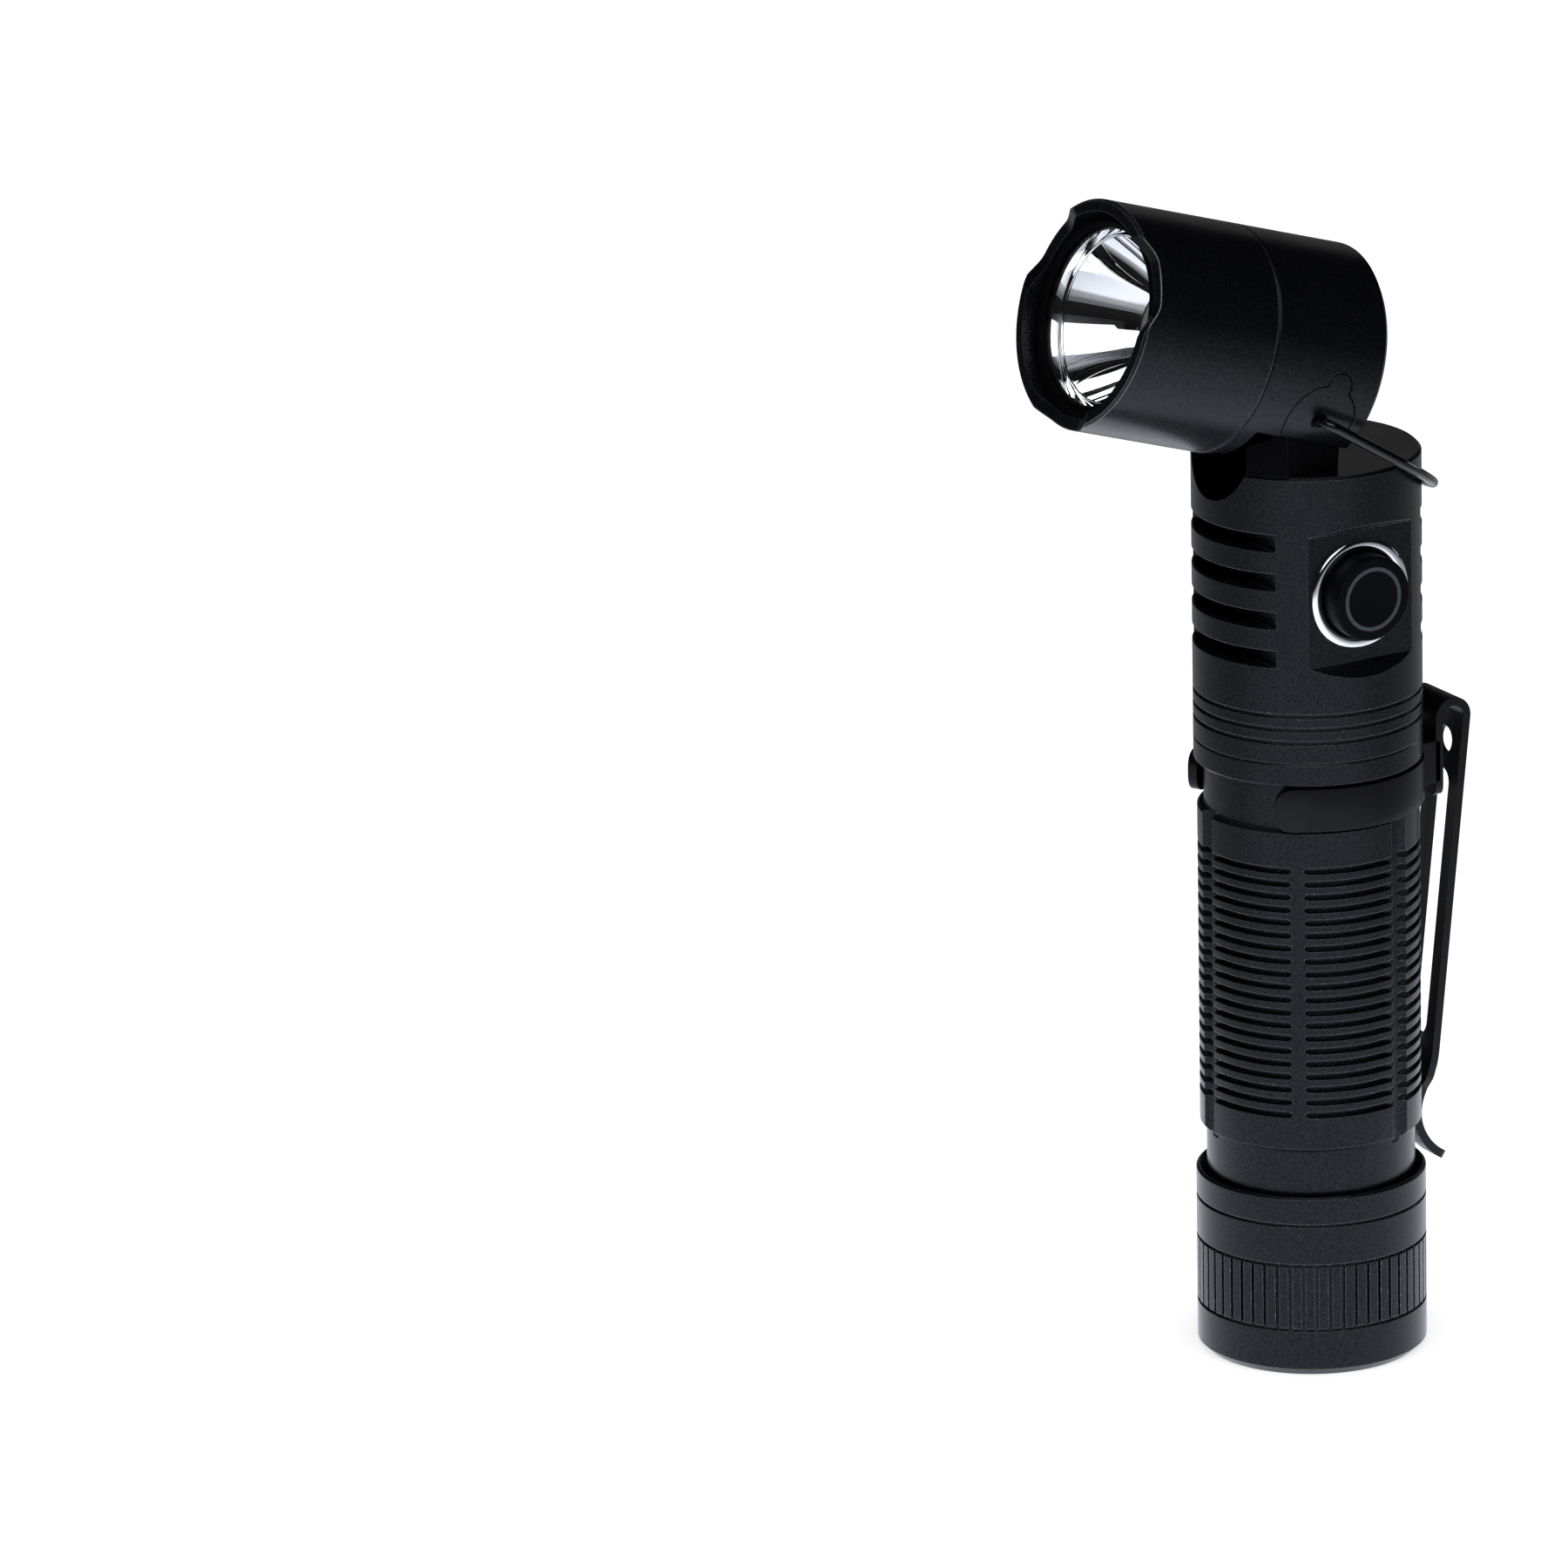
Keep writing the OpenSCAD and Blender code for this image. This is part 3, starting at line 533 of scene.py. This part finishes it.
DOME = clear_dome("dome_clear")
PHOSPHOR = phosphor("phosphor_yellow")
WIRE = paint("wire_lacquer", (0.003, 0.003, 0.004), 0.08, 0.30, 0.25)
CLIP = paint("clip_lacquer", (0.0035, 0.0036, 0.0046), 0.32, 0.14, 0.08)

NODE_FINISH = {
    SHELL: ["upper_body", "battery_tube", "tail_cap"],
    REAR: ["rear_head", "hinge_plate_right", "hinge_plate_left"],
    BEZEL_PAINTED_HIGHLIGHT: ["front_head"],
    YOKE_SHADED: ["hinge_yoke", "lens_retainer"],
    PIN: ["hinge_pin"],
    SEAL: ["neck_seal", "tail_seal", "head_seal", "lens_seal"],
    STEEL: ["battery_button"],
    BRASS: ["positive_contact", "heat_sink"],
    BOARD: ["driver_board", "switch_board", "tail_board"],
    RETAINER: ["board_retainer", "tail_retainer"],
    SWITCH: ["switch_body"],
    FILM: ["battery_cell"],
    GLASS: ["lens_glass"],
    WHITE_BOARD: ["led_board"],
    WHITE_RING: ["led_gasket"],
}
for finish, names in NODE_FINISH.items():
    for name in names:
        for slot in nodes[name].material_slots:
            slot.material = finish


# ------------------------------------------------------------------------ head

def mirror_bowl():
    """The bowl: a paraboloid, a crease and a short bright lip, with its outside and flange."""
    deepest, crease, rim = 22.25, 29.35, 30.6
    bowl_tip, bowl_width = 20.15, 9.8
    lip_foot, lip_radius, lip_flare = 29.5, 9.66, 0.5
    steps, lip_steps = 44, 8
    outline = []
    for k in range(steps + 1):
        height = deepest + (crease - deepest) * k / steps
        outline.append((math.sqrt(bowl_width * (height - bowl_tip)), height))
    outline += [(9.60, 29.42), (lip_radius, lip_foot)]
    for k in range(1, lip_steps + 1):
        share = k / lip_steps
        outline.append((lip_radius + lip_flare * share ** 1.4, lip_foot + (rim - lip_foot) * share))
    outline += rounded([(11.65, rim, 0.1), (11.65, 29.75, 0.1), (11.0, 29.75, 0.2), (11.0, 21.8, 0.4),
                        (4.6, 21.8, 0.05)], closed=False, steps=3)
    bowl = lathe("mirror_bowl", outline, MIRROR, head_base, 192, sharp=28.0)
    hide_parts("reflector")
    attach(bowl, "head")


def light_source():
    """The light source: a square ceramic base, the phosphor square on it, and a clear dome."""
    base, top = 21.5, 22.3
    half, chip = 1.75, 0.62
    dome_radius = 1.4
    corners = rounded([(-half, -half, 0.25), (half, -half, 0.25), (half, half, 0.25), (-half, half, 0.25)])
    verts = []
    faces = []
    for u, v in corners:
        verts += [head_base @ Vector((u, v, h)) for h in (base, top - 0.08)]
    for u, v in corners:
        verts.append(head_base @ Vector((u * 0.955, v * 0.955, top)))
    count = len(corners)
    for i in range(count):
        n = (i + 1) % count
        faces.append([2 * i, 2 * n, 2 * n + 1, 2 * i + 1])
        faces.append([2 * i + 1, 2 * n + 1, 2 * count + n, 2 * count + i])
    faces.append([2 * count + i for i in range(count)])
    faces.append([2 * i for i in reversed(range(count))])
    carrier = new_piece("emitter_base", verts, faces, WHITE_RING)
    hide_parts("led_emitter")
    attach(carrier, "head")

    square = rounded([(-chip, -chip, 0.08), (chip, -chip, 0.08), (chip, chip, 0.08), (-chip, chip, 0.08)])
    verts = [head_base @ Vector((u, v, top - 0.02)) for u, v in square]
    verts += [head_base @ Vector((u * 0.97, v * 0.97, top + 0.07)) for u, v in square]
    count = len(square)
    faces = [[i, (i + 1) % count, count + (i + 1) % count, count + i] for i in range(count)]
    faces.append([count + i for i in range(count)])
    faces.append([i for i in reversed(range(count))])
    chip_piece = new_piece("emitter_phosphor", verts, faces, PHOSPHOR)
    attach(chip_piece, "head")

    dome_foot = top + 0.02
    outline = [(0.0, dome_foot), (dome_radius + 0.02, dome_foot)]
    outline += arc_points(0.0, dome_foot, dome_radius, 4.0, 90.0, 16)
    outline[-1] = (0.0, dome_foot + dome_radius)
    dome = lathe("emitter_dome", outline, DOME, head_base, 64, closed=False)
    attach(dome, "head")


# ---------------------------------------------------------------------- button

button_low, button_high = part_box("button_cap")
button_centre = Vector((0.0, 0.0, (button_low.z + button_high.z) / 2)) / MM
on_flat = Matrix.Translation(button_centre) @ Matrix.Rotation(math.radians(90), 4, "Y")
flat_x = 11.24


def button():
    """The cap: a flange under the ring, a drafted side, a soft edge and a slightly dished face."""
    ring_radius, ring_width = 3.53, 0.44
    top = button_high.x / MM
    outline = [(0.0, 9.75)]
    outline += rounded([(0.0, 9.75, 0), (5.3, 9.75, 0.1), (5.3, 10.38, 0.1), (4.99, 10.42, 0.05),
                        (4.95, top - 0.01, 0.32), (3.2, top, 2.0), (0.0, top - 0.10, 0)],
                       closed=False, steps=8)[1:]
    face = Vector((flat_x, 0.0, button_centre.z)) * MM
    printed = printed_cap("button_printed", tuple(face), ring_radius * MM, ring_width * MM)
    cap = lathe("button_dome", outline, printed, on_flat, 128, closed=False)
    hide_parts("button_cap")
    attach(cap, "button")


def trim_ring():
    """The polished ring round the button: a sleeve in the body with a low rounded lip."""
    inner, outer = 5.14, 6.5
    sleeve_inner, sleeve_outer, sleeve_end = 5.45, 5.98, 9.2
    lip_rise = 0.32
    ledge = flat_x - 0.6
    outline = [(sleeve_inner, sleeve_end), (sleeve_outer, sleeve_end), (sleeve_outer, flat_x),
               (outer, flat_x)]
    for x, y in arc_points(0.0, 0.0, 1.0, 0.0, 180.0, 14):
        outline.append(((inner + outer) / 2 + (outer - inner) / 2 * x, flat_x + 0.03 + lip_rise * y))
    outline += [(inner, ledge), (sleeve_inner, ledge)]
    ring = lathe("trim_ring", outline, CHROME, on_flat, 128)
    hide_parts("button_ring")
    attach(ring, "body")


# ------------------------------------------------------------------------ bail

def wire_hoop():
    """The bail: two short ends in the hinge plates, two legs and a half-round bow."""
    radius = 0.6
    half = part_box("wire_bail")[1].x / MM - radius
    reach = 23.6
    corner = 1.3
    end = 10.3
    lean = math.radians(-32.0)
    leg = reach - half
    path = [(end + radius * 0.6, 0.0)]
    path += [(end + 1.2, 0.0), (half - corner - 0.3, 0.0)]
    path += arc_points(half - corner, corner, corner, -90.0, 0.0, 10)
    path += [(half, corner + (leg - corner) * k / 6) for k in range(1, 6)]
    path += arc_points(0.0, leg, half, 0.0, 90.0, 32)
    path += [(-x, y) for x, y in reversed(path[:-1])]
    tilt = Matrix.Translation(hinge) @ Matrix.Rotation(lean, 4, "X")
    hoop = tube("wire_hoop", [tilt @ Vector((x, y, 0.0)) for x, y in path], radius, WIRE, 24)
    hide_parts("wire_bail")
    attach(hoop, "bail")


# ------------------------------------------------------------------------ clip

clip_width = 7.0
sheet = 1.0
clamp_low, clamp_high = 66.2, 71.25


def along(lengths, line, s):
    """Point and left-hand normal at length s."""
    s = min(max(s, 0.0), lengths[-1])
    i = 0
    while i < len(line) - 2 and lengths[i + 1] < s:
        i += 1
    share = (s - lengths[i]) / (lengths[i + 1] - lengths[i])
    a, b = Vector(line[i]), Vector(line[i + 1])
    point = a.lerp(b, share)
    before = (Vector(line[i]) - Vector(line[i - 1])) if i > 0 else (b - a)
    after = (Vector(line[i + 2]) - b) if i + 2 < len(line) else (b - a)
    start = (before.normalized() + (b - a).normalized()).normalized()
    end = ((b - a).normalized() + after.normalized()).normalized()
    run = start.lerp(end, share).normalized()
    return point, Vector((-run.y, run.x))


def clip_sheet():
    """Inner leg, rolled top, slotted strap and narrow curved tip, as one bent sheet."""
    bend_radius = 1.9
    leg_foot = 64.4
    bend = arc_points(bend_centre.y, bend_centre.z, bend_radius, 180.0, 0.0, 22)
    tail = rounded([(19.6, 73.7, 0), (15.05, 33.1, 14.0), (13.95, 27.8, 6.0), (13.75, 26.0, 6.0),
                    (13.95, 24.4, 6.0), (14.5, 22.9, 6.0), (15.4, 21.5, 6.0), (16.5, 20.4, 6.0),
                    (18.0, 19.4, 0)], closed=False, steps=6)
    line = [(bend_centre.y - bend_radius, leg_foot)] + bend + tail[1:]
    lengths = [0.0]
    for a, b in zip(line, line[1:]):
        lengths.append(lengths[-1] + math.dist(a, b))
    total = lengths[-1]

    def at_height(z):
        """Length along the sheet at which the strap comes down to this height."""
        for i in range(len(bend), len(line) - 1):
            if line[i + 1][1] <= z:
                share = (line[i][1] - z) / (line[i][1] - line[i + 1][1])
                return lengths[i] + share * (lengths[i + 1] - lengths[i])
        return total

    half = clip_width / 2
    leg_corner = 1.4
    hole_height, hole_radius = 70.0, 1.65
    # Height on the strap, half width there and how softly the edge turns.
    taper = [(32.0, half, 3.0), (30.2, 3.2, 2.0), (28.8, 2.35, 2.0), (27.0, 1.85, 3.0), (24.5, 1.5, 3.0),
             (21.5, 1.3, 2.0)]
    side = [(at_height(z), width, radius) for z, width, radius in taper] + [(total, 1.1, 1.0)]
    outline = rounded([(0.0, -half, leg_corner), (0.0, half, leg_corner)] + side
                      + [(s, -width, radius) for s, width, radius in reversed(side)], steps=6)
    hole = arc_points(at_height(hole_height), 0.0, hole_radius, 0.0, 351.0, 39)
    slot_top, slot_low, slot_half = at_height(65.0), at_height(36.5), 1.75
    slot = arc_points(slot_top, 0.0, slot_half, 90.0, 270.0, 18)
    slot += arc_points(slot_low, 0.0, slot_half, -90.0, 90.0, 18)
    work = plate(outline, [hole, slot], sheet, 0.16, lengths[1:-1])

    def bend_point(s, x, h):
        point, normal = along(lengths, line, s)
        place = point + normal * (h - sheet / 2)
        return (x, place.x, place.y)

    strap = bent_piece("clip_strap", work, bend_point, CLIP)
    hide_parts("clip_arm")
    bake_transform(strap)


def clip_band():
    """The open band in the neck, with rounded ends that spring slightly outwards."""
    inner, thick = 12.25, 1.15
    arc_length = math.radians(120.0) * inner
    tab = 4.4
    half_height = (clamp_high - clamp_low) / 2
    total = arc_length + tab
    outline = rounded([(-total, -half_height, 2.1), (total, -half_height, 2.1),
                       (total, half_height, 2.1), (-total, half_height, 2.1)], steps=10)
    stations = [arc_length * k / 40 for k in range(-40, 41)]
    work = plate(outline, [], thick, 0.28, stations)

    def bend_point(s, x, h):
        clamped = max(-arc_length, min(arc_length, s))
        turn = math.radians(90.0) + clamped / inner
        out = Vector((math.cos(turn), math.sin(turn)))
        run = Vector((-out.y, out.x))
        place = out * (inner + h) + run * (s - clamped)
        return (place.x, place.y, (clamp_low + clamp_high) / 2 + x)

    band = bent_piece("clip_band", work, bend_point, CLIP)
    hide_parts("clip_clamp")
    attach(band, "clip")


def clip_webs():
    """The two side webs folded from the band to the inner leg."""
    half_height = (clamp_high - clamp_low) / 2
    near, far, thick = 12.75, 15.9, 0.9
    for side, label in ((1, "right"), (-1, "left")):
        outline = rounded([(near, -half_height, 0.2), (far, -half_height, 0.5),
                           (far, half_height, 0.5), (near, half_height, 0.2)], steps=4)
        work = plate(outline, [], thick, 0.14, [])

        def fold(s, x, h, side=side):
            return (side * (clip_width / 2 - thick + h), s, (clamp_low + clamp_high) / 2 + x)

        web = bent_piece("clip_web_" + label, work, fold, CLIP)
        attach(web, "clip")


# ------------------------------------------------------------------------ tail

def coil_spring():
    """A conical helix with a flat closed turn at each end."""
    low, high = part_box("tail_spring")
    wire = 0.42
    bottom, top = low.z / MM + wire, high.z / MM - wire
    turns, flat_turns = 6.0, 0.9
    widest, narrowing = 6.4, 2.4
    steps = 240
    path = []
    for k in range(steps + 1):
        share = k / steps
        climb = min(max((share * turns - flat_turns) / (turns - 2 * flat_turns), 0.0), 1.0)
        reach = widest - narrowing * climb
        turn = 2 * math.pi * turns * share
        lift = bottom + (top - bottom) * climb
        path.append((reach * math.cos(turn), reach * math.sin(turn), lift))
    spring = tube("coil_spring", path, wire, GOLD, 14)
    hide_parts("tail_spring")
    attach(spring, "tail_contact")


# --------------------------------------------------------------- stage and view

def place_camera():
    """The camera, on the side the button is on, a little above the head."""
    azimuth, elevation, roll = math.radians(57.5), math.radians(17.9), math.radians(-0.42)
    distance = 1750.0
    aim_left, aim_up = 60.77, 12.46
    middle = Vector((0.0, 0.0, 54.75))
    back = Vector((math.sin(azimuth) * math.cos(elevation),
                   -math.cos(azimuth) * math.cos(elevation), math.sin(elevation)))
    flat_right = Vector((0, 0, 1)).cross(back).normalized()
    flat_up = back.cross(flat_right)
    right = math.cos(roll) * flat_right + math.sin(roll) * flat_up
    up = math.cos(roll) * flat_up - math.sin(roll) * flat_right
    eye = middle + back * distance
    aim = middle - aim_left * right + aim_up * up
    behind = (eye - aim).normalized()
    side = (right - behind * right.dot(behind)).normalized()
    over = behind.cross(side)
    lens = bpy.data.cameras.new("camera")
    lens.lens = 347.2
    lens.sensor_width = 36.0
    lens.clip_start = 0.05
    lens.clip_end = 60.0
    camera = bpy.data.objects.new("camera", lens)
    turn = Matrix((side, over, behind)).transposed().to_4x4()
    camera.matrix_world = Matrix.Translation(eye * MM) @ turn
    bpy.context.scene.collection.objects.link(camera)
    bpy.context.scene.camera = camera


def area_light(name, place, aim, size, power, colour=(1.0, 1.0, 1.0)):
    """A soft box at a place, turned towards an aim, all in metres."""
    lamp = bpy.data.lights.new(name, "AREA")
    lamp.shape = "RECTANGLE"
    lamp.size, lamp.size_y = size
    lamp.energy = power
    lamp.color = colour
    made = bpy.data.objects.new(name, lamp)
    made.location = place
    made.rotation_euler = (Vector(aim) - Vector(place)).to_track_quat("-Z", "Y").to_euler()
    bpy.context.scene.collection.objects.link(made)


def studio_floor():
    """A wide white floor with a painted contact shadow round the base. Reflections see a cool pool of
    light in front of the object instead.
    """
    mesh = bpy.data.meshes.new("studio_floor")
    work = bmesh.new()
    bmesh.ops.create_circle(work, cap_ends=True, segments=96, radius=30.0)
    work.to_mesh(mesh)
    work.free()
    floor = bpy.data.objects.new("studio_floor", mesh)
    bpy.context.scene.collection.objects.link(floor)
    finish = Finish("studio_white", Roughness=0.9, Specular_IOR_Level=0.1)
    finish.shader.inputs["Base Color"].default_value = (0.8, 0.8, 0.8, 1.0)
    from_camera = finish.node("ShaderNodeLightPath").outputs["Is Camera Ray"]
    reach = finish.node("ShaderNodeVectorMath", {0: finish.place}, operation="LENGTH").outputs["Value"]
    # Painted contact shadow: the floor seen by the camera darkens to 72% near the base.
    painted_contact_shadow = finish.spread(reach, 0.0125, 0.026, 0.72, 1.0)
    seen = finish.maths("MULTIPLY", from_camera, finish.maths("MULTIPLY", painted_contact_shadow, 1.04))
    away = finish.node("ShaderNodeVectorMath", {0: finish.place, 1: (0.21, -0.134, 0.0)},
                       operation="DISTANCE").outputs["Value"]
    pool = finish.maths("MAXIMUM", finish.spread(away, 0.19, 0.31, 1.1, 0.2),
                        finish.spread(reach, 0.09, 0.20, 1.25, 0.2))
    hidden = finish.maths("MULTIPLY", finish.maths("SUBTRACT", 1.0, from_camera), pool)
    tint = finish.colours(from_camera, (0.86, 0.89, 1.0), (1.0, 1.0, 1.0))
    finish.to_shader("Emission Color", tint)
    finish.to_shader("Emission Strength", finish.maths("ADD", seen, hidden))
    mesh.materials.append(finish.material)


def studio_world():
    """White behind the object, almost black all round it."""
    world = bpy.data.worlds.new("studio")
    bpy.context.scene.world = world
    world.use_nodes = True
    tree = world.node_tree
    backdrop = tree.nodes["Background"]
    ray = tree.nodes.new("ShaderNodeLightPath")
    sky = tree.nodes.new("ShaderNodeMapRange")
    place = tree.nodes.new("ShaderNodeTexCoord")
    parts = tree.nodes.new("ShaderNodeSeparateXYZ")
    tree.links.new(place.outputs["Generated"], parts.inputs[0])
    tree.links.new(parts.outputs["Z"], sky.inputs["Value"])
    sky.inputs["From Min"].default_value = 0.0
    sky.inputs["From Max"].default_value = 0.4
    sky.inputs["To Min"].default_value = 0.014
    sky.inputs["To Max"].default_value = 0.004
    choose = tree.nodes.new("ShaderNodeMix")
    choose.data_type = "FLOAT"
    tree.links.new(ray.outputs["Is Camera Ray"], choose.inputs["Factor"])
    tree.links.new(sky.outputs["Result"], choose.inputs["A"])
    choose.inputs["B"].default_value = 1.0
    tree.links.new(choose.outputs["Result"], backdrop.inputs["Strength"])
    backdrop.inputs["Color"].default_value = (1.0, 1.0, 1.0, 1.0)


def studio_lights():
    """Two large soft boxes high on the button side and overhead, and two dim ones behind."""
    aim = (0.0, 0.0, 0.07)
    area_light("key_box", (0.640, -0.196, 0.843), aim, (0.70, 0.75), 2.5)
    area_light("top_box", (0.42, -0.52, 0.84), aim, (0.60, 0.55), 1.6)
    area_light("card_back_left", (-0.88, 0.56, 0.36), aim, (0.7, 0.35), 0.10)
    area_light("strip_back_right", (-0.15, 1.1, 0.25), aim, (0.5, 0.18), 0.45, (0.96, 0.98, 1.0))


mirror_bowl()
light_source()
button()
trim_ring()
wire_hoop()
clip_sheet()
clip_band()
clip_webs()
coil_spring()
place_camera()
studio_floor()
studio_world()
studio_lights()

bpy.context.scene.view_settings.view_transform = "Standard"
bpy.context.scene.view_settings.look = "None"
